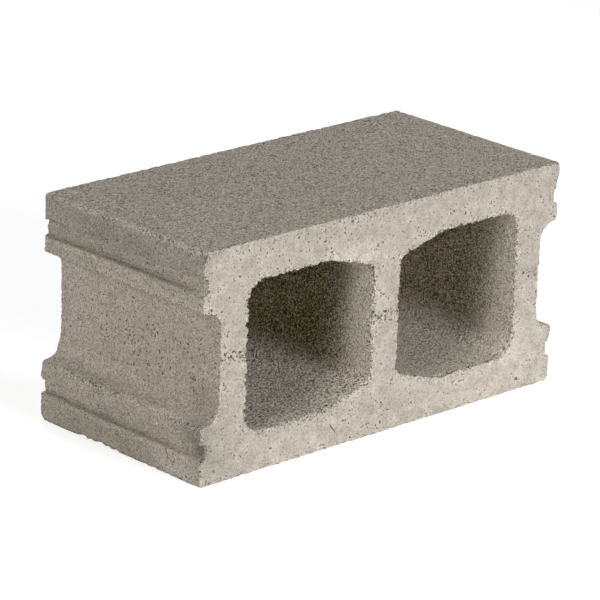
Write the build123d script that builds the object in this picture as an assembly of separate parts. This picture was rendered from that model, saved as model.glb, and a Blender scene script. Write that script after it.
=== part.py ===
"""Two-core hollow concrete masonry block, lying on one face shell with its cores level.

The block is one casting. X runs along its length, Y along its casting height, from the
open top of the mould (-Y) to the pallet (+Y), and Z is up, through its thickness.
The origin is on the floor under the middle of the block. Lengths are in millimetres.
"""

import math
import os

from build123d import *

# Overall size of the unit: a nominal 16 by 8 by 8 inch block less one mortar joint.
LENGTH = 397.0
HEIGHT = 194.0
THICKNESS = 194.0
ARRIS_RADIUS = 1.5

# Walls at the open top of the mould, where they are thinnest.
FACE_SHELL = 33.5
END_WEB = 28.5
MIDDLE_WEB = 30.0

# Cores: the draft that lets the mould strip, and the corners of their outline.
CORE_DRAFT = 1.2
CORE_CORNER_RADIUS = 18.0
FLARE_RUN = 49.0
FLARE_RISE = 13.5
FLARE_BLEND_RADIUS = 40.0
WEB_CORNER_RADIUS = 8.0

# Hollow ends: a recess between two flanges that carry on the face shells.
FLANGE = 50.0
RECESS_DEPTH = 19.0
RECESS_SPLAY = 3.5
RECESS_RADIUS = 15.0

# Mortar grooves, one along each flange, measured from the face of the block.
GROOVE_CENTRE = 29.0
GROOVE_MOUTH = 13.5
GROOVE_FLOOR = 11.0
GROOVE_DEPTH = 5.0
GROOVE_RADIUS = 1.0


def section_plane(y):
    """The plane across the block at a station of its casting height: local x is X, local y is Z."""
    return Plane(origin=(0, y, 0), x_dir=(1, 0, 0), z_dir=(0, -1, 0))


def filleted_face(corners):
    """A face from (x, z, fillet radius) corners, in order round its outline."""
    points = [(x, z) for x, z, _ in corners]
    radii = [radius for _, _, radius in corners]
    return make_face(FilletPolyline(*points, radius=radii, close=True))


def flange_corners():
    """Corners of the lower half of the right end, from the bottom face up to the recess floor."""
    end = LENGTH / 2
    groove_floor = end - GROOVE_DEPTH
    return [
        (end, 0, ARRIS_RADIUS),
        (end, GROOVE_CENTRE - GROOVE_MOUTH / 2, GROOVE_RADIUS),
        (groove_floor, GROOVE_CENTRE - GROOVE_FLOOR / 2, GROOVE_RADIUS),
        (groove_floor, GROOVE_CENTRE + GROOVE_FLOOR / 2, GROOVE_RADIUS),
        (end, GROOVE_CENTRE + GROOVE_MOUTH / 2, GROOVE_RADIUS),
        (end, FLANGE, ARRIS_RADIUS),
        (end - RECESS_DEPTH, FLANGE + RECESS_SPLAY, RECESS_RADIUS),
    ]


def block_section():
    """The block's outer outline: one flange, carried to the other three by symmetry."""
    lower_right = flange_corners()
    upper_right = [(x, THICKNESS - z, radius) for x, z, radius in reversed(lower_right)]
    right_end = lower_right + upper_right
    left_end = [(-x, z, radius) for x, z, radius in reversed(right_end)]
    return filleted_face(right_end + left_end)


def core_section(setback):
    """The right core's outline with every wall thicker by setback.

    The face shells flare into the middle web, so the inner corners are cut off by a slope.
    """
    inner = MIDDLE_WEB / 2 + setback
    outer = LENGTH / 2 - RECESS_DEPTH - END_WEB - setback
    low = FACE_SHELL + setback
    high = THICKNESS - low
    return filleted_face(
        [
            (inner, low + FLARE_RISE, WEB_CORNER_RADIUS),
            (inner + FLARE_RUN, low, FLARE_BLEND_RADIUS),
            (outer, low, CORE_CORNER_RADIUS),
            (outer, high, CORE_CORNER_RADIUS),
            (inner + FLARE_RUN, high, FLARE_BLEND_RADIUS),
            (inner, high - FLARE_RISE, WEB_CORNER_RADIUS),
        ]
    )


def core():
    """The right core: a drafted plug, widest at the open top of the mould."""
    setback = HEIGHT * math.tan(math.radians(CORE_DRAFT))
    mould_top = section_plane(-HEIGHT / 2) * core_section(0)
    pallet = section_plane(HEIGHT / 2) * core_section(setback)
    return loft([mould_top, pallet], ruled=True)


def concrete_block():
    """The outer section carried through the casting height, with both cores taken out."""
    solid = extrude(section_plane(HEIGHT / 2) * block_section(), amount=HEIGHT)
    right_core = core()
    left_core = mirror(right_core, about=Plane.YZ)
    return solid - right_core - left_core


os.makedirs("parts", exist_ok=True)
export_step(concrete_block(), "parts/concrete_block.step")
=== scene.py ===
"""A two-core concrete block lying on one face shell, under soft studio light."""

import itertools
import math

import bpy
import numpy as np
from mathutils import Matrix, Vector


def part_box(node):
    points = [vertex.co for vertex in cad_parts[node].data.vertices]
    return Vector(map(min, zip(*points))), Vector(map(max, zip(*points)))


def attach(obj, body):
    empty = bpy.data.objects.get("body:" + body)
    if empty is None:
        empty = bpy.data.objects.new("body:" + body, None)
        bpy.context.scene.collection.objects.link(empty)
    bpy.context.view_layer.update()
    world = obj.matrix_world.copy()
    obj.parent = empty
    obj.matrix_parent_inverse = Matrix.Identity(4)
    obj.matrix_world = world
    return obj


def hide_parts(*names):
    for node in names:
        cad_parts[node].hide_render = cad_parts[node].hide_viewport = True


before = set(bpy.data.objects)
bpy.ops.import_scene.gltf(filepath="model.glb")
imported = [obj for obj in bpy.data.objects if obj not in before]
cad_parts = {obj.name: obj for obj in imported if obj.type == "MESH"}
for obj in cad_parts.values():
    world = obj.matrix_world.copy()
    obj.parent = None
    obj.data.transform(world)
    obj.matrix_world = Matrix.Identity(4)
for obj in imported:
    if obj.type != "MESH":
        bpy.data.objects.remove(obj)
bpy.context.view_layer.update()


# The block is one casting of dry, sandy concrete, pressed in a steel mould round two core plugs and
# pushed out while still green. It rests on a face shell by its own weight: nothing is fixed to it.
# Lengths in this section are millimetres, in the frame of the solid that the piece stands for.

MM = 0.001
LOWEST, HIGHEST = np.array(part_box("concrete_block")) / MM
END = HIGHEST[0]
FRONT, BACK = LOWEST[1], HIGHEST[1]
THICKNESS = HIGHEST[2]
MIDDLE = THICKNESS / 2

FACE_SHELL = 33.5
END_WEB = 28.5
MIDDLE_WEB = 30.0
CORE_DRAFT = math.radians(1.2)
CORE_SETBACK = (BACK - FRONT) * math.tan(CORE_DRAFT)
CORE_CORNER_RADIUS, WEB_CORNER_RADIUS = 18.0, 8.0
FLARE_RUN, FLARE_RISE, FLARE_BLEND_RADIUS = 49.0, 13.5, 40.0
FLANGE, ARRIS_RADIUS = 50.0, 1.5
RECESS_DEPTH, RECESS_SPLAY, RECESS_RADIUS = 19.0, 3.5, 15.0
GROOVE_CENTRE, GROOVE_MOUTH, GROOVE_FLOOR = 29.0, 13.5, 11.0
GROOVE_DEPTH, GROOVE_RADIUS = 5.0, 1.0

ARC_POINTS = 17


def rounded_path(corners):
    """A path through corners (x, z, radius), each rounded by the arc that is tangent to both its legs.

    A corner of radius nought stays sharp. Returns the path's points, the distance along it at each
    point, and the distance at the middle of each corner.
    """
    corners = np.array(corners, float)
    points, middles = [], []
    for k, (x, z, radius) in enumerate(corners):
        corner = np.array((x, z))
        if radius == 0:
            arc = corner[None]
        else:
            leg_in = corners[k - 1, :2] - corner
            leg_out = corners[k + 1, :2] - corner
            leg_in /= np.linalg.norm(leg_in)
            leg_out /= np.linalg.norm(leg_out)
            half = math.acos(leg_in @ leg_out) / 2
            inward = (leg_in + leg_out) / np.linalg.norm(leg_in + leg_out)
            centre = corner + inward * radius / math.sin(half)
            sweep = np.linspace(half - math.pi / 2, math.pi / 2 - half, ARC_POINTS)
            side = (leg_out - leg_in) / np.linalg.norm(leg_out - leg_in)
            arc = centre + radius * (np.sin(sweep)[:, None] * side - np.cos(sweep)[:, None] * inward)
        middles.append(len(points) + len(arc) // 2)
        points.extend(arc)
    points = np.array(points)
    steps = np.linalg.norm(np.diff(points, axis=0), axis=1)
    along = np.concatenate([[0], np.cumsum(steps)])
    return points, along, along[middles]


def loop_points(corners, anchors, columns):
    """A loop that is symmetrical about mid thickness, sampled at one point for each column.

    corners run round the lower half of the loop. anchors says which column falls at which distance,
    and the columns between two anchors are evenly spaced. The upper half mirrors the lower one.
    """
    points, along, _ = rounded_path(corners)
    stations = np.interp(columns, *anchors)
    lower = np.stack([np.interp(stations, along, points[:, axis]) for axis in (0, 1)], axis=1)
    upper = lower[-2:0:-1] * (1, -1) + (0, THICKNESS)
    return np.concatenate([lower, upper])


def outer_corners():
    """The right half's outer outline, from the middle of the block down and round to the end recess."""
    floor = END - GROOVE_DEPTH
    return [
        (0, MIDDLE, 0),
        (0, 0, 0),
        (END, 0, ARRIS_RADIUS),
        (END, GROOVE_CENTRE - GROOVE_MOUTH / 2, GROOVE_RADIUS),
        (floor, GROOVE_CENTRE - GROOVE_FLOOR / 2, GROOVE_RADIUS),
        (floor, GROOVE_CENTRE + GROOVE_FLOOR / 2, GROOVE_RADIUS),
        (END, GROOVE_CENTRE + GROOVE_MOUTH / 2, GROOVE_RADIUS),
        (END, FLANGE, ARRIS_RADIUS),
        (END - RECESS_DEPTH, FLANGE + RECESS_SPLAY, RECESS_RADIUS),
        (END - RECESS_DEPTH, MIDDLE, 0),
    ]


def core_corners(setback):
    """The right core's outline, from its middle web round to its end web, with walls thicker by setback."""
    inner = MIDDLE_WEB / 2 + setback
    outer = END - RECESS_DEPTH - END_WEB - setback
    low = FACE_SHELL + setback
    return [
        (inner, MIDDLE, 0),
        (inner, low + FLARE_RISE, WEB_CORNER_RADIUS),
        (inner + FLARE_RUN, low, FLARE_BLEND_RADIUS),
        (outer, low, CORE_CORNER_RADIUS),
        (outer, MIDDLE, 0),
    ]


# Columns run round each core. The counts are for the stretches between the outer corners above, and
# the shares say how far along the core's end wall each outer corner's column meets it.
STRETCH_COLUMNS = (26, 100, 10, 5, 6, 5, 8, 12, 22)
END_WALL_SHARES = np.array((0, 0.10, 0.14, 0.20, 0.24, 0.34, 0.46, 1))

column_marks = np.concatenate([[0], np.cumsum(STRETCH_COLUMNS)])
half_columns = np.arange(column_marks[-1] + 1)
seam_columns = STRETCH_COLUMNS[0]


def core_loop(setback):
    """The right core's outline at one depth, with each column opposite its place on the outer outline."""
    corners = core_corners(setback)
    marks = rounded_path(corners)[2]
    end_wall = marks[3] + (marks[4] - marks[3]) * END_WALL_SHARES
    distances = np.concatenate([marks[:2], end_wall])
    return loop_points(corners, (column_marks, distances), half_columns)


outer_outline = loop_points(outer_corners(), (column_marks, rounded_path(outer_corners())[2]), half_columns)
mouth_outline = core_loop(0)
pallet_outline = core_loop(CORE_SETBACK)
column_count = len(outer_outline)
skin_columns = np.arange(seam_columns, column_count - seam_columns + 1)
on_skin = np.isin(np.arange(column_count), skin_columns)


def lattice_noise(points, cell, seed):
    """Smooth noise from 0 to 1: random numbers on a cubic lattice, eased from corner to corner."""
    place = (points - LOWEST) / cell + 1
    corner = np.floor(place).astype(int)
    ease = place - corner
    ease = ease * ease * (3 - 2 * ease)
    lattice = np.random.default_rng(seed).random(corner.reshape(-1, 3).max(axis=0) + 2)
    total = 0
    for step in itertools.product((0, 1), repeat=3):
        weight = np.where(step, ease, 1 - ease).prod(axis=-1)
        total = total + weight * lattice[tuple(np.moveaxis(corner + step, -1, 0))]
    return total


def edge_offsets(fine, lengths, count):
    """Distances of count steps along each of some lengths: fine ones at both ends, even ones between."""
    fine = np.array(fine)[:, None] + np.zeros_like(lengths)
    middle = np.linspace(fine[-1], lengths - fine[-1], count - 2 * len(fine) + 3)[1:-1]
    return np.concatenate([fine, middle, lengths - fine[::-1]])


def at_depth(outline, y):
    """An outline's points (x, z) at depth y, as places in the block."""
    return np.stack([outline[..., 0], np.broadcast_to(y, outline.shape[:-1]), outline[..., 1]], axis=-1)


def inward_normals(outline, towards_core):
    """Unit normals of an outline, pointing into the concrete, from each point's two neighbours."""
    tangent = np.roll(outline, -1, axis=0) - np.roll(outline, 1, axis=0)
    normal = np.stack([-tangent[:, 1], tangent[:, 0]], axis=1)
    normal /= np.linalg.norm(normal, axis=1)[:, None]
    return normal * (1 if towards_core else -1)


def edge_loss(rim, seed):
    """How far a rim has crumbled back at each point, in millimetres.

    Every point has lost up to a fifth of a millimetre, and about a third of them have a notch of up to
    1.4. Crumbs are gone where close noise is high, and more where broad noise is high as well.
    """
    ragged = np.random.default_rng(seed).random(len(rim))
    broad = lattice_noise(rim, 11, seed + 1)
    close = lattice_noise(rim, 2.6, seed + 2)
    notches = np.clip(5 * ragged - 3.4, 0, 1)
    crumbs = 2.5 * np.clip(close - 0.6, 0, 0.3) + 2 * np.clip(broad + close - 1.3, 0, 0.5)
    return 0.2 * ragged + 1.4 * notches + crumbs


def crumbled(distance, loss):
    """How far a point moves off a rim that has crumbled back by loss, on either side of the edge.

    The rim itself moves by the whole loss, and a point two losses away stays.
    """
    return np.maximum(loss - distance / 2, 0)


# Rows of points are close at the rims, where the concrete crumbles. On the two flat faces they step
# along rungs from the core to the outer outline, which bow by up to RUNG_BOW beside the grooves.
FINE_STEPS = (0, 0.6, 1.3, 2.2, 3.4, 5.2)
FRONT_RINGS, BACK_RINGS = 20, 12
SKIN_ROWS, CORE_ROWS = 62, 36
LEAST_SLANT = 0.4
RUNG_BOW, BOWED_COLUMNS = 4.0, 25

outer_normals = inward_normals(outer_outline, True)
outer_normals[[seam_columns, column_count - seam_columns]] = ((0, 1), (0, -1))
mouth_normals = inward_normals(mouth_outline, False)
pallet_normals = inward_normals(pallet_outline, False)


def rung_bows():
    """How far the middle of each column's rung bows, in X and Z: away from mid thickness, at the grooves.

    The bow fades by a normal curve to both sides of the groove wall that lies along the rungs, so that
    no rung crosses that wall.
    """
    groove_column = (column_marks[3] + column_marks[4]) / 2
    columns = np.arange(column_count)
    lower = np.exp(-(((columns - groove_column) / BOWED_COLUMNS) ** 2))
    upper = np.exp(-(((column_count - columns - groove_column) / BOWED_COLUMNS) ** 2))
    return RUNG_BOW * np.stack([np.zeros(column_count), upper - lower], axis=1)


def bed_face(core_outline, core_normals, y, rings, losses):
    """One end face of the casting: rungs from the core's rim to the outer rim, one a column.

    A rung is a straight line and a parabola of its bow. Rungs are stepped finely at both rims, or evenly
    where they stop at the middle of the block. The distance to a rim is measured square to it, from the
    slant of the rung.
    """
    core_loss, outer_loss = losses
    rung = outer_outline - core_outline
    length = np.linalg.norm(rung, axis=1)
    steps = edge_offsets(FINE_STEPS, length, rings) / length
    fine = FINE_STEPS[-1] / length
    inner = np.array(FINE_STEPS)[:, None] / length
    even = np.linspace(fine, 1, rings + 2 - len(FINE_STEPS))[1:]
    steps = np.where(on_skin, steps, np.concatenate([inner, even]))
    face = (1 - steps)[..., None] * core_outline + steps[..., None] * outer_outline
    face = face + (4 * steps * (1 - steps))[..., None] * rung_bows()
    heading = rung / length[:, None]
    core_distance = steps * length * np.maximum((heading * core_normals).sum(axis=1), LEAST_SLANT)
    outer_distance = (1 - steps) * length * np.maximum(-(heading * outer_normals).sum(axis=1), LEAST_SLANT)
    from_core = crumbled(core_distance, core_loss)[..., None] * core_normals
    from_outside = crumbled(outer_distance, outer_loss)[..., None] * outer_normals
    rim = np.where(on_skin, np.minimum(core_distance, outer_distance), core_distance)
    return at_depth(face, y), at_depth(face + from_core + from_outside, y), rim


def wall(front_outline, back_outline, normals, rows, front_loss, back_loss):
    """A wall from the front face to the back one: an outline carried through the casting height."""
    casting_height = np.full(column_count, BACK - FRONT)
    offset = edge_offsets(FINE_STEPS, casting_height, rows)
    share = offset / casting_height
    outline = (1 - share)[..., None] * front_outline + share[..., None] * back_outline
    loss = crumbled(offset, front_loss) + crumbled(casting_height - offset, back_loss)
    depth = FRONT + offset
    rim = np.minimum(offset, casting_height - offset)
    return at_depth(outline, depth), at_depth(outline + loss[..., None] * normals, depth), rim


# Zones of the surface, in the order in which each half lists its grids. The outer rims, which the mould
# held, have crumbled by only a share of what the core rims have.
FRONT_FACE, SKIN, BACK_FACE, CORE_WALL = range(4)
OUTER_LOSS = 0.4


def half_block(side):
    """One half of the block, a ring of concrete round one core: its four grids of points and its quads.

    side is 1 for the right half and -1 for the left, which is the right one turned over in X but worn
    by its own noise. Each grid gives exact places, worn places, and distances to the nearest rim.
    """
    turn = np.array((side, 1, 1))

    def loss(outline, y, seed):
        """How far this half's rim at that outline and depth has crumbled."""
        return edge_loss(at_depth(outline, y) * turn, seed + side)

    front_outer = np.where(on_skin, OUTER_LOSS * loss(outer_outline, FRONT, 12), 0)
    back_outer = np.where(on_skin, OUTER_LOSS * loss(outer_outline, BACK, 22), 0)
    front_core = loss(mouth_outline, FRONT, 32)
    back_core = loss(pallet_outline, BACK, 42)
    grids = [
        bed_face(mouth_outline, mouth_normals, FRONT, FRONT_RINGS, (front_core, front_outer)),
        wall(outer_outline, outer_outline, outer_normals, SKIN_ROWS, front_outer, back_outer),
        bed_face(pallet_outline, pallet_normals, BACK, BACK_RINGS, (back_core, back_outer)),
        wall(mouth_outline, pallet_outline, mouth_normals, CORE_ROWS, front_core, back_core),
    ]
    outward = (1, 1, -1, -1)
    exact, worn, rims, zones, quads = [], [], [], [], []
    start = 0
    for zone, (grid, worn_grid, rim) in enumerate(grids):
        rows = len(grid)
        index = start + np.arange(rows * column_count).reshape(rows, column_count)
        start += index.size
        ring = np.stack([index[:-1], np.roll(index, -1, 1)[:-1], np.roll(index, -1, 1)[1:], index[1:]], -1)
        if zone == SKIN:
            ring = ring[:, skin_columns[:-1]]
        ring = ring.reshape(-1, 4)
        quads.append(ring[:, ::-1] if outward[zone] * side > 0 else ring)
        exact.append(grid.reshape(-1, 3) * turn)
        worn.append(worn_grid.reshape(-1, 3) * turn)
        rims.append(rim.ravel())
        zones.append(np.full(rim.size, zone))
    return [np.concatenate(part) for part in (exact, worn, rims, zones, quads)]


def welded_block():
    """Both halves joined into one closed surface: points at the same exact place become one point."""
    right, left = half_block(1), half_block(-1)
    exact, worn, rims, zones = [np.concatenate(pair) for pair in zip(right[:4], left[:4])]
    quads = np.concatenate([right[4], left[4] + len(right[0])])
    used = np.zeros(len(exact), bool)
    used[quads] = True
    keys = np.round(exact * 1e4).astype(np.int64)
    keys[~used] = keys[quads[0, 0]]
    _, first, place = np.unique(keys, axis=0, return_index=True, return_inverse=True)
    return worn[first], rims[first], zones[first], place.reshape(-1)[quads]


def point_normals(points, quads):
    """Outward unit normal of each point: the mean of its quads' normals, weighted by their area."""
    corners = points[quads]
    facing = np.cross(corners[:, 2] - corners[:, 0], corners[:, 3] - corners[:, 1])
    total = np.zeros_like(points)
    for corner in range(4):
        np.add.at(total, quads[:, corner], facing)
    return total / np.linalg.norm(total, axis=1)[:, None]


def bitten(points, centres, radii):
    """The surface with a ball of concrete broken out at each centre.

    A point inside a ball moves straight out from the ball's centre to its skin, which leaves a dish.
    """
    for centre, radius in zip(centres, radii):
        arm = points - centre
        reach = np.linalg.norm(arm, axis=1)
        inside = reach < radius
        points[inside] = centre + arm[inside] * (radius / reach[inside])[:, None]
    return points


def chip_balls(points, normals, where, count, smallest, largest, lift, seed):
    """Balls for count chips at random points of a chosen place, lifted off it by a share of their radius."""
    rng = np.random.default_rng(seed)
    chosen = rng.choice(np.flatnonzero(where), count, replace=False)
    radii = smallest + (largest - smallest) * rng.random(count) ** 2
    return points[chosen] + normals[chosen] * (lift * radii)[:, None], radii


# Damage that shows in the photograph. A flake is parting from the near upper corner of the left end,
# crumbs are gone from the lower arrises, and a chip from the near mouth of the lower groove. Each row is
# a ball: its place and its radius.
FLAKE_CRACK = [(-END - 0.6, FRONT - 0.2, THICKNESS - drop, 1.5) for drop in (1.5, 3.5, 5.5, 7.5, 9.0)]
LOST_CRUMBS = [
    (-END + 0.5, 45, -3.0, 6.2),
    (-END, 35, -2.6, 5.0),
    (-END + 0.5, 24, -3.0, 6.4),
    (-END, 14, -2.6, 5.2),
    (-END, 4, -2.4, 4.6),
    (-END - 0.6, -59, -1.2, 2.8),
    (-END - 1.5, BACK + 1.5, -1.5, 5.5),
    (-END - 0.8, BACK + 0.6, 16, 2.2),
    (END + 1.5, FRONT - 1.5, -1.5, 5.5),
]
GROOVE_CHIP = [(-END - 1.0, FRONT - 0.5, 36, 4.0), (-END + 3, FRONT - 1.2, 30, 3.4)]

# The bar that carried the core plugs left a level mark across the webs, fainter on the right end web.
BAR_MARK_HEIGHT, BAR_MARK_SPREAD = 101.0, 4.5
FAINT_BAR_MARK = 0.4

# Arrises along the ends, from the bottom up, and how much each carries of painted highlights and wear.
ARRIS_HEIGHTS = np.array((0, FLANGE, THICKNESS - FLANGE, THICKNESS))
ARRIS_HIGHLIGHT_AND_WEAR = np.array((0.4, 0.9, 0.3, 0.6))
ARRIS_REACH, RIM_REACH = 2.5, 3.0

# Margins of places that the finish tells apart: an end reaches behind its recess and stops short of the
# faces above and below it, and the surround of a core reaches past its mouth.
RECESS_MARGIN, ARRIS_MARGIN, CORE_MARGIN = 2, 1, 6

points, rim_distance, zone, quads = welded_block()
normals = point_normals(points, quads)
from_middle = np.abs(points - (0, 0, MIDDLE))
on_left = points[:, 0] < 0
on_bed = (zone == FRONT_FACE) | (zone == BACK_FACE)
on_core = zone == CORE_WALL
behind_recess = from_middle[:, 0] > END - RECESS_DEPTH - RECESS_MARGIN
on_end = (zone == SKIN) & behind_recess & (from_middle[:, 2] < MIDDLE - ARRIS_MARGIN)
core_reach = np.array((END - RECESS_DEPTH - END_WEB, MIDDLE - FACE_SHELL)) + CORE_MARGIN
round_a_core = (from_middle[:, (0, 2)] < core_reach).all(axis=1)

bar_mark = (zone == FRONT_FACE) * np.exp(-(((points[:, 2] - BAR_MARK_HEIGHT) / BAR_MARK_SPREAD) ** 2))
bar_mark *= np.where(points[:, 0] > END / 2, FAINT_BAR_MARK, 1)
near_rim = np.exp(-rim_distance / RIM_REACH)
arris_gaps = np.hypot(END - from_middle[:, :1], points[:, 2:] - ARRIS_HEIGHTS)
# Painted highlights and wear along the arrises, broken into stretches by noise.
arris_highlight_and_wear = (ARRIS_HIGHLIGHT_AND_WEAR * np.exp(-((arris_gaps / ARRIS_REACH) ** 2))).max(axis=1)
highlight_and_wear_stretches = np.clip(3 * lattice_noise(points, 13, 27) - 0.9, 0, 1)
highlighted_worn_arrises = (zone == SKIN) * highlight_and_wear_stretches * arris_highlight_and_wear

# Broad tones, many of them painted light and shade. Each row is a place, its reach along X, Y and Z, and
# how much paler, or darker if negative, the surface is painted in the middle of it.
TONES_AND_PAINTED_LIGHT = [
    # The front face, with painted light low on the right and painted shade low on the left and along the
    # top, and the painted shadow behind the flake.
    ((150, FRONT, 10), (120, 20, 45), 0.2),
    ((-95, FRONT, 12), (60, 20, 25), 0.1),
    ((-185, FRONT, 190), (30, 20, 30), 0.04),
    ((-190, FRONT, 25), (30, 20, 40), -0.15),
    ((0, FRONT, 195), (260, 10, 25), -0.06),
    ((0, FRONT, 75), (280, 10, 70), 0.06),
    ((-END + 0.8, FRONT, 190.5), (2.0, 2.5, 4.5), -0.45),
    # The top face, with painted shade over most of it.
    ((-60, 0, THICKNESS), (200, 150, 6), -0.06),
    # The left end's flanges and recess, with painted light on the recess's lower slope and painted shade in
    # its near lower corner.
    ((-END, 5, 178), (12, 95, 20), -0.27),
    ((-END, -72, 8), (8, 32, 16), 0.3),
    ((-END, 20, 13), (8, 75, 16), -0.15),
    ((-END, -88, 182), (10, 16, 12), -0.15),
    ((-END, -88, 40), (10, 16, 18), -0.2),
    ((-180, 85, 97), (15, 60, 40), 0.1),
    ((-END + 10, 10, 58), (14, 140, 7), 0.15),
    ((-END + 12, -80, 64), (12, 22, 14), -0.2),
    ((-END + 10, 85, 62), (14, 25, 14), 0.12),
    # The left end's arrises and groove lips, with painted highlights, and the inner corners of its grooves
    # and the near mouth of the lower one, with painted shade.
    ((-END, 0, 51), (4, 150, 2), 0.3),
    ((-END, 0, 146), (4, 150, 3), 0.1),
    ((-END, 0, THICKNESS), (4, 150, 2), 0.65),
    ((-END, 40, 156), (3, 70, 3), 0.25),
    ((-END + 4, 0, 160.5), (3, 90, 2), -0.2),
    ((-END, 0, 21), (3, 150, 1.6), 0.2),
    ((-END + 4, 20, 24.5), (3, 90, 2), -0.2),
    ((-END, -92, 160), (6, 7, 3), 0.35),
    ((-END + 3, FRONT + 4, 30), (6, 7, 7), -0.4),
    # The cores' lips and floors, with painted light at the mouths and on the right core's floor, and painted
    # shade further into the left core's floor.
    ((-45, FRONT + 18, 152), (30, 20, 14), 0.65),
    ((112, FRONT + 12, 158), (30, 18, 8), 0.3),
    ((138, FRONT + 6, 46), (26, 20, 18), 0.3),
    ((-30, FRONT + 6, 44), (24, 14, 10), 0.18),
    ((-95, -45, 36), (60, 60, 10), -0.1),
    ((40, FRONT + 60, 40), (30, 50, 12), 0.1),
]

# How far the surface stands out of its mould's shape, or falls short of it, in the same way: along the
# far edge of the left end, at the right core's lower lip, and at worn groove lips on the right end.
BULGES = [
    ((-END, BACK, 28), (10, 45, 55), 1.0),
    ((-END + 5, BACK, 29), (3, 45, 6), 1.0),
    ((-END, BACK, 170), (10, 45, 32), -1.1),
    ((-END + 5, BACK, 165), (3, 45, 5), 1.7),
    ((-END + 16, BACK, 62), (6, 70, 6), 1.8),
    ((85, FRONT, 35), (60, 30, 6), -1.3),
    ((END + 2, FRONT, 171), (4, 45, 9), -4.2),
    ((END + 2, FRONT, 36), (4, 45, 4), -2.5),
]

# How open the concrete's grain is, in the same way: where pits are many, or few if negative.
OPEN_PLACES = [
    ((-END + RECESS_DEPTH, -10, 97), (6, 70, 30), 0.5),
    ((-60, FRONT, 180), (40, 20, 12), 0.5),
    ((-180, FRONT, 150), (14, 20, 40), 0.4),
    ((0, FRONT, 20), (20, 20, 14), 0.5),
    ((140, FRONT + 20, 46), (28, 45, 30), -0.45),
]


def patches(rows):
    """The sum of soft patches, each fading from its middle by a normal curve with its own reach."""
    total = np.zeros(len(points))
    for middle, reach, amount in rows:
        total += amount * np.exp(-(((points - middle) / reach) ** 2).sum(axis=1))
    return total


def ramp(value, start, run):
    """A straight rise from 0 at start to 1 after a run."""
    return np.clip((value - start) / run, 0, 1)


# Inside the cores, the walls that face along X get painted shade, tinted olive, above their lower fillet,
# from a little way in, most of all in the left core. They get painted light at the mouth and far in. The
# floors get painted light at the mouth, and are coarser, most of all in the left core.
LEFT_DEEP_SHADE, RIGHT_DEEP_SHADE = 0.8, 0.5
LEFT_FLOOR_GRAIN, RIGHT_FLOOR_GRAIN = 0.35, 0.15

core_depth = np.where(on_core, points[:, 1] - FRONT, 0)
side_wall = on_core * ramp(np.abs(normals[:, 0]), 0.4, 0.4)
core_floor = on_core * ramp(normals[:, 2], 0.4, 0.4)
wall_mouth = side_wall * np.exp(-((core_depth / 35) ** 2))
wall_far_in = side_wall * ramp(core_depth, 55, 80)
floor_mouth = core_floor * np.exp(-core_depth / 10)
# Painted light on the core walls and floors near the mouths and far in, and a little paleness over each
# core.
core_painted_light = 0.1 * on_core + 0.12 * wall_mouth + 0.45 * wall_far_in + 0.25 * floor_mouth
# Tone of the surface: broad tones with their painted light and shade, and the painted light in the cores.
tone_and_painted_light = 1 + patches(TONES_AND_PAINTED_LIGHT) + core_painted_light
above_fillet = ramp(points[:, 2], 44, 18)
# Painted shade on the side walls deep in the cores.
deep_shade = np.where(on_left, LEFT_DEEP_SHADE, RIGHT_DEEP_SHADE) * side_wall * above_fillet * ramp(core_depth, 20, 40)

# Pits are fewest on the ends and most on the two other moulded faces, top and bottom. The grain is coarse
# on the core floors, at rims, most of all round a core, and along stretches of the arrises, where it carries
# painted highlights as well as wear.
floor_grain = np.where(on_left, LEFT_FLOOR_GRAIN, RIGHT_FLOOR_GRAIN) * core_floor
rim_grain = np.where(round_a_core, 0.7, 0.4) * near_rim
coarse = np.maximum.reduce([floor_grain, rim_grain, highlighted_worn_arrises])
openness = np.select([on_core, on_bed, on_end], [0.6, 0.6, 0.5], 0.9) + patches(OPEN_PLACES) + floor_grain


def relief():
    """How far the cast surface stands off its mould at each point, in millimetres.

    Waves are broad and even, and bulges are where the rows above say. Grit is coarser on the walls that
    the core plugs dragged. Rims, and the mark of the bar that carried the plugs, only lose concrete.
    """
    waves = 0.5 * (lattice_noise(points, 45, 21) - 0.5)
    grit = lattice_noise(points, 4.2, 22) + lattice_noise(points, 2.3, 23) - 1
    grit_height = np.select([on_core, on_bed], [0.45, 0.22], 0.26)
    crumble = np.clip(lattice_noise(points, 3.6, 24) + lattice_noise(points, 9, 25) - 0.85, 0, 1)
    pitting = np.clip(lattice_noise(points, 4.5, 26) - 0.6, 0, 1)
    lost = 0.4 * near_rim * crumble + bar_mark * (0.3 + 2.4 * pitting)
    return waves + patches(BULGES) + grit_height * grit - lost


points = points + normals * relief()[:, None]

# Small chips. Each row says where they are, how many, their least and largest radius, their lift, a seed.
rims = rim_distance < 0.1
arrises = (zone == SKIN) & (arris_gaps.min(axis=1) < ARRIS_RADIUS)
for where, count, smallest, largest, lift, seed in (
    (rims & ~round_a_core, 180, 0.7, 1.7, 0.4, 31),
    (rims & round_a_core, 330, 1.0, 2.3, 0.12, 32),
    (arrises, 60, 0.8, 1.9, 0.45, 33),
    (on_bed, 160, 0.9, 2.0, 0.35, 34),
    (zone == SKIN, 220, 1.0, 2.2, 0.4, 35),
    (on_core, 260, 1.2, 2.8, 0.4, 36),
):
    points = bitten(points, *chip_balls(points, normals, where, count, smallest, largest, lift, seed))
damage = np.array(FLAKE_CRACK + LOST_CRUMBS + GROOVE_CHIP)
points = bitten(points, damage[:, :3], damage[:, 3])
points = np.maximum(points, (-math.inf, -math.inf, 0))

mesh = bpy.data.meshes.new("block_casting")
mesh.from_pydata((points * MM).tolist(), [], quads.tolist())
mesh.polygons.foreach_set("use_smooth", np.ones(len(quads), bool))
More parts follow.
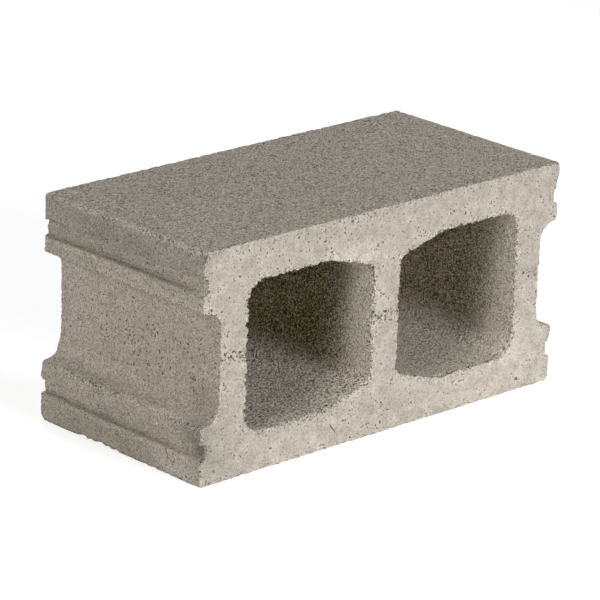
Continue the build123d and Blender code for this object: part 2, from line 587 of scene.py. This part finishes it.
# The second attribute holds the tone with its painted light and shade, the painted shade deep in the cores,
# how open the grain is, and the bar's mark.
for name, channels in (
    ("cast_zone", (on_core, on_bed, on_end, coarse)),
    ("painted_light_and_wear", (tone_and_painted_light, deep_shade, openness, bar_mark)),
):
    values = np.stack(channels, axis=1).astype(np.float32)
    mesh.attributes.new(name, "FLOAT_COLOR", "POINT").data.foreach_set("color", values.ravel())
mesh.update()
block = bpy.data.objects.new("block_casting", mesh)
bpy.context.collection.objects.link(block)


class Wire:
    """A shader socket. Arithmetic on it adds Math nodes, so a formula reads as it is written."""

    def __init__(self, tree, socket=None):
        self.tree = tree
        self.socket = socket

    def node(self, kind, settings, sockets, output=0):
        """Adds a node: first its settings, then the values or wires of its sockets. Gives one output."""
        node = self.tree.nodes.new(kind)
        for name, value in settings.items():
            setattr(node, name, value)
        for name, value in sockets.items():
            if isinstance(value, Wire):
                self.tree.links.new(value.socket, node.inputs[name])
            else:
                node.inputs[name].default_value = value
        return Wire(self.tree, node.outputs[output])

    def math(self, operation, first, second):
        """A Math node on two values or wires."""
        return self.node("ShaderNodeMath", {"operation": operation}, {0: first, 1: second})

    def __add__(self, other):
        return self.math("ADD", self, other)

    def __radd__(self, other):
        return self.math("ADD", other, self)

    def __sub__(self, other):
        return self.math("SUBTRACT", self, other)

    def __rsub__(self, other):
        return self.math("SUBTRACT", other, self)

    def __mul__(self, other):
        return self.math("MULTIPLY", self, other)

    def __rmul__(self, other):
        return self.math("MULTIPLY", other, self)

    def rise(self, low, high):
        """A smooth step of this value: 0 up to low, 1 from high on."""
        limits = {"Value": self, "From Min": low, "From Max": high}
        return self.node("ShaderNodeMapRange", {"interpolation_type": "SMOOTHSTEP"}, limits)

    def blend(self, first, second):
        """A colour between two others, by this share of the second."""
        return self.node("ShaderNodeMix", {"data_type": "RGBA"}, {0: self, 6: first, 7: second}, 2)

    def noise(self, grain, detail=0.0, output=0):
        """Noise from 0 to 1 with features of that many millimetres, on this place in the block."""
        sockets = {"Vector": self, "Scale": 1 / grain, "Detail": detail, "Roughness": 0.6}
        return self.node("ShaderNodeTexNoise", {"noise_dimensions": "3D"}, sockets, output)

    def cells(self, grain):
        """A random value from 0 to 1 for each cell, of that many millimetres, that this place may be in."""
        sockets = {"Vector": self, "Scale": 1 / grain}
        cell = self.node("ShaderNodeTexVoronoi", {"feature": "F1"}, sockets, "Color")
        return self.node("ShaderNodeSeparateColor", {}, {"Color": cell}, "Red")

    def distance_from(self, first, last):
        """How far this place is from the straight line between two others."""
        along = np.subtract(last, first)
        arm = self.node("ShaderNodeVectorMath", {"operation": "SUBTRACT"}, {0: self, 1: first})
        share_of = {0: arm, 1: along / (along @ along)}
        share = self.node("ShaderNodeVectorMath", {"operation": "DOT_PRODUCT"}, share_of, "Value")
        share = self.node("ShaderNodeClamp", {}, {"Value": share})
        foot = self.node("ShaderNodeVectorMath", {"operation": "SCALE"}, {0: along, "Scale": share})
        return self.node("ShaderNodeVectorMath", {"operation": "DISTANCE"}, {0: arm, 1: foot}, "Value")

    def channels(self, attribute):
        """The four channels of one of the mesh's colour attributes."""
        settings = {"attribute_name": attribute}
        colour = self.node("ShaderNodeAttribute", settings, {}, "Color")
        parts = [self.node("ShaderNodeSeparateColor", {}, {"Color": colour}, k) for k in range(3)]
        return parts + [self.node("ShaderNodeAttribute", settings, {}, "Alpha")]


# Colours of the finish. Paste is greyer on the flat faces, one struck off and one set on the pallet, and
# in the cores, than on the outer skin.
STRUCK_CEMENT = (0.542, 0.493, 0.426, 1)
MOULDED_CEMENT = (0.555, 0.495, 0.415, 1)
PIT_SHADE = (0.07, 0.058, 0.04, 1)
# The olive of the painted shade deep in the cores.
DEEP_SHADE_OLIVE = (0.36, 0.3, 0.118, 1)
QUARTZ = (0.84, 0.77, 0.67, 1)
# The white grain's colour, made near white so that it also stands in for the grain's glint, a painted
# highlight.
GLINTING_WHITE_GRAIN = (0.95, 0.93, 0.89, 1)

# Sizes of what makes up the finish, and how far its pits are shifted to be ragged.
SAND_SIZE, HOLLOW_SIZE, GRIT_SIZE, LUMP_SIZE, CLOUD_SIZE = 0.8, 1.5, 1.8, 3.2, 14.0
SMALL_PIT_SIZE, LARGE_PIT_SIZE = 1.2, 2.3
RAGGEDNESS, RAGGED_SIZE = 1.2, 0.9
BUMP_HEIGHT = 1.5

# Short cracks, each a straight line: behind the flake, on the left end's lower flange, and on the front
# below the left core. One white grain in the left end is a line too, square through the surface. Each
# pair of edges says how far from its line a crack or the grain begins and has ended.
CRACKS = [
    ((-END + 3, FRONT, THICKNESS), (-END, FRONT, THICKNESS - 8)),
    ((-END, -55.7, 21.7), (-END, -59.5, 14.4)),
    ((-58.4, FRONT, 20), (-52.5, FRONT, 12.6)),
]
GRAIN_LINE = ((-END - 2, -44.9, 39.1), (-END + 2, -44.9, 39.1))
CRACK_EDGES, GRAIN_EDGES = (0.4, 0.9), (0.9, 1.3)
CRACK_DEPTH = 0.75


def pits_and_cracks(place, cluster, end, coarse, openness, bar):
    """How much of a pit each place is, from 0 to 1.

    Pits are a share of random cells, of two sizes, made ragged by a shift of their place with fine noise.
    The share is larger in clusters where the grain is open, where it is coarse, and in the bar's mark.
    Cracks are ragged by the same shift, so their lines are moved by its mean.
    """
    shift = place.noise(RAGGED_SIZE, 0.0, "Color")
    shifted = {0: shift, 1: (RAGGEDNESS,) * 3, 2: place}
    ragged = place.node("ShaderNodeVectorMath", {"operation": "MULTIPLY_ADD"}, shifted)
    worn = coarse * (1 - 0.8 * end)
    small_share = openness * (0.045 + 0.13 * cluster) + 0.08 * worn + 0.2 * bar
    large_share = openness * (0.003 + 0.035 * cluster) * (1 - 0.7 * end) + 0.02 * worn + 0.15 * bar
    small_pit = (small_share - ragged.cells(SMALL_PIT_SIZE)).rise(0.0, 0.05)
    large_pit = (large_share - ragged.cells(LARGE_PIT_SIZE)).rise(0.0, 0.02)
    pit = place.math("MAXIMUM", small_pit, large_pit)
    mean_shift = RAGGEDNESS / 2
    for first, last in CRACKS:
        line = ragged.distance_from(np.add(first, mean_shift), np.add(last, mean_shift))
        pit = place.math("MAXIMUM", pit, CRACK_DEPTH * (1 - line.rise(*CRACK_EDGES)))
    return pit


def dry_cast_concrete():
    """Finish of the block: cement paste full of sand grains, each its own tone, with ragged pits in it.

    Grains are random cells. They differ most on the top and bottom and where the concrete is coarse. The
    brightest stand out of the painted shade deep in the cores as painted highlights, and show on the
    arrises as painted highlights and wear; the darkest are on the ends and flat faces, and none but the
    white one is paler than quartz. Clouds are broader. Hollows between the grains get painted shade, most
    of all deep in the cores. The bump is grit, lumps, which are high on the shaded deep walls, and pits.
    """
    material = bpy.data.materials.new("dry_cast_concrete")
    material.use_nodes = True
    tree = material.node_tree
    shader = tree.nodes["Principled BSDF"]
    start = Wire(tree)
    object_place = start.node("ShaderNodeTexCoord", {}, {}, "Object")
    place = start.node("ShaderNodeVectorMath", {"operation": "SCALE"}, {0: object_place, "Scale": 1 / MM})
    core, bed, end, coarse = start.channels("cast_zone")
    tone_and_painted_light, deep_shade, openness, bar = start.channels("painted_light_and_wear")

    cloud = place.noise(CLOUD_SIZE, 2.0)
    pit = pits_and_cracks(place, cloud.rise(0.45, 0.72), end, coarse, openness, bar)

    sand = place.cells(SAND_SIZE)
    power = 4.0
    mean = 1 / (power + 1)
    bright = start.math("POWER", sand, power)
    dark = start.math("POWER", 1 - sand, power)
    contrast = 1.5 - 1.2 * bed - 0.7 * end - 0.2 * core + (1.3 - 0.8 * end) * coarse
    # Pale grains, which stand out of the painted shade deep in the cores as painted highlights, and along
    # the arrises as painted highlights and wear.
    pale_grains_and_highlights = (4.0 * deep_shade + 2.0 * end * coarse) * (bright - mean)
    dark_grains = 0.2 * (bed + end) * (dark - mean)
    sandy = contrast * (sand - 0.5) + pale_grains_and_highlights - dark_grains
    clouding = 0.15 + 0.75 * bed + 0.35 * end + 0.5 * core
    grain = start.math("MAXIMUM", 1.04 + sandy + clouding * (cloud - 0.5), 0.05)
    # Hollows between the grains get painted shade, most of all deep in the cores.
    hollow_shade = (0.5 - place.noise(HOLLOW_SIZE)).rise(-0.03, 0.05)
    tone = tone_and_painted_light * grain * (1 - (0.06 + 0.1 * core + 0.4 * deep_shade) * hollow_shade)

    paste = (bed + 0.8 * core).blend(MOULDED_CEMENT, STRUCK_CEMENT)
    # Painted shade deep in the cores, which spares the brightest grains a little.
    deep_shaded = (deep_shade * (1.1 - 0.2 * bright)).blend(paste, DEEP_SHADE_OLIVE)
    scaled = start.node("ShaderNodeVectorMath", {"operation": "SCALE"}, {0: deep_shaded, "Scale": tone})
    toned = start.node("ShaderNodeVectorMath", {"operation": "MINIMUM"}, {0: scaled, 1: QUARTZ[:3]})
    pitted = (0.93 * pit).blend(toned, PIT_SHADE)
    white = 1 - place.distance_from(*GRAIN_LINE).rise(*GRAIN_EDGES)
    colour = white.blend(pitted, GLINTING_WHITE_GRAIN)
    tree.links.new(colour.socket, shader.inputs["Base Color"])
    shader.inputs["Roughness"].default_value = 0.92
    shader.inputs["Specular IOR Level"].default_value = 0.2

    grit_height = 0.25 + 0.45 * core + 0.1 * bed + 0.2 * end
    lump_height = 0.3 * core + 3.0 * deep_shade
    height = grit_height * place.noise(GRIT_SIZE) + lump_height * place.noise(LUMP_SIZE, 1.0) - 0.3 * pit
    bumped = {"Strength": 1.0, "Distance": BUMP_HEIGHT * MM, "Height": height}
    bump = start.node("ShaderNodeBump", {}, bumped)
    tree.links.new(bump.socket, shader.inputs["Normal"])
    return material


mesh.materials.append(dry_cast_concrete())
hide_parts("concrete_block")
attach(block, "root")


# The floor is a wide pale sheet. The camera sees it white, darkened only where the block shades it.

FLOOR_REACH = 6.0
FLOOR_PALENESS = 0.7
FLOOR_GLOW = 0.72


def seen_directly(start):
    """1 for rays that show the stage itself: from the camera, or by a mirror or through glass."""
    def ray(name):
        return start.node("ShaderNodeLightPath", {}, {}, name)

    either = start.math("MAXIMUM", ray("Is Camera Ray"), ray("Is Glossy Ray"))
    return start.math("MAXIMUM", either, ray("Is Transmission Ray"))


def pale_floor():
    """Matt pale sheet for the light that it throws back, and a near-white one for rays that show it."""
    material = bpy.data.materials.new("pale_floor")
    material.use_nodes = True
    tree = material.node_tree
    tree.nodes.clear()
    start = Wire(tree)
    sheet = start.node("ShaderNodeBsdfDiffuse", {}, {"Color": (FLOOR_PALENESS,) * 3 + (1,)})
    glow = start.node("ShaderNodeEmission", {}, {"Strength": FLOOR_GLOW})
    shown = start.node("ShaderNodeAddShader", {}, {0: sheet, 1: glow})
    surface = start.node("ShaderNodeMixShader", {}, {0: seen_directly(start), 1: sheet, 2: shown})
    output = tree.nodes.new("ShaderNodeOutputMaterial")
    tree.links.new(surface.socket, output.inputs["Surface"])
    return material


sheet_mesh = bpy.data.meshes.new("floor")
square = FLOOR_REACH * np.array([(-1, -1, 0), (1, -1, 0), (1, 1, 0), (-1, 1, 0)])
sheet_mesh.from_pydata(square.tolist(), [], [(0, 1, 2, 3)])
sheet_mesh.materials.append(pale_floor())
floor = bpy.data.objects.new("floor", sheet_mesh)
bpy.context.collection.objects.link(floor)


# Light: a soft lamp in front that reaches into the cores, two smaller ones to the left, low and high,
# and a large one behind, with a little light from all round. Each row gives the lamp's bearing to the
# right of the front and its elevation, in degrees, its width in metres, and its level. Levels of about 1
# in all show a colour as it is written.

AROUND = 0.03
LAMP_DISTANCE = 2.3
LAMPS = {
    "key": (4, 20, 0.8, 0.70),
    "left_low": (-78, 5, 0.4, 0.153),
    "left_high": (-70, 28, 0.4, 0.183),
    "behind": (150, 45, 1.2, 0.237),
}


def aim(place, target):
    """A turn that points a lamp's or camera's -Z from place to target, with its top kept up."""
    away = place - target
    away /= np.linalg.norm(away)
    right = np.cross((0, 0, 1), away)
    right /= np.linalg.norm(right)
    return right, np.cross(away, right), away


def matrix_of(place, axes):
    """The 4 by 4 matrix of an object at place whose X, Y and Z axes are given."""
    rows = np.eye(4)
    rows[:3, :3] = np.array(axes).T
    rows[:3, 3] = place
    return Matrix(rows.tolist())


for name, (bearing, elevation, width, level) in LAMPS.items():
    bearing, elevation = math.radians(bearing), math.radians(elevation)
    flat_heading = np.array((math.sin(bearing), -math.cos(bearing), 0)) * math.cos(elevation)
    target = np.array((0, 0, MIDDLE * MM))
    place = target + LAMP_DISTANCE * (flat_heading + (0, 0, math.sin(elevation)))
    lamp = bpy.data.lights.new(name, "AREA")
    lamp.size = width
    lamp.energy = level * math.pi**2 * LAMP_DISTANCE**2
    lamp_object = bpy.data.objects.new(name, lamp)
    lamp_object.matrix_world = matrix_of(place, aim(place, target))
    bpy.context.collection.objects.link(lamp_object)

world = bpy.data.worlds.new("studio")
world.use_nodes = True
world_tree = world.node_tree
world_tree.nodes.clear()
start = Wire(world_tree)
ambient = start.node("ShaderNodeBackground", {}, {"Strength": AROUND})
white = start.node("ShaderNodeBackground", {}, {"Strength": 1.0})
sky = start.node("ShaderNodeMixShader", {}, {0: seen_directly(start), 1: ambient, 2: white})
world_output = world_tree.nodes.new("ShaderNodeOutputWorld")
world_tree.links.new(sky.socket, world_output.inputs["Surface"])
bpy.context.scene.world = world


# The camera stands at the block's near left corner, a little above it, with a long lens.

YAW, PITCH, ROLL = math.radians(-43.725), math.radians(19.113), math.radians(1.993)
CAMERA_PLACE = np.array((-1.9558, -2.0408, 1.0669))
FOCAL_PIXELS, IMAGE_PIXELS = 3613.7, 600

away = np.array((math.sin(YAW) * math.cos(PITCH), -math.cos(YAW) * math.cos(PITCH), math.sin(PITCH)))
level_right = np.array((math.cos(YAW), math.sin(YAW), 0))
level_up = np.cross(away, level_right)
camera_right = math.cos(ROLL) * level_right + math.sin(ROLL) * level_up
camera_up = math.cos(ROLL) * level_up - math.sin(ROLL) * level_right

camera = bpy.data.cameras.new("camera")
camera.sensor_width = 36.0
camera.lens = camera.sensor_width * FOCAL_PIXELS / IMAGE_PIXELS
camera_object = bpy.data.objects.new("camera", camera)
camera_object.matrix_world = matrix_of(CAMERA_PLACE, (camera_right, camera_up, away))
bpy.context.collection.objects.link(camera_object)
bpy.context.scene.camera = camera_object
bpy.context.scene.view_settings.view_transform = "Standard"
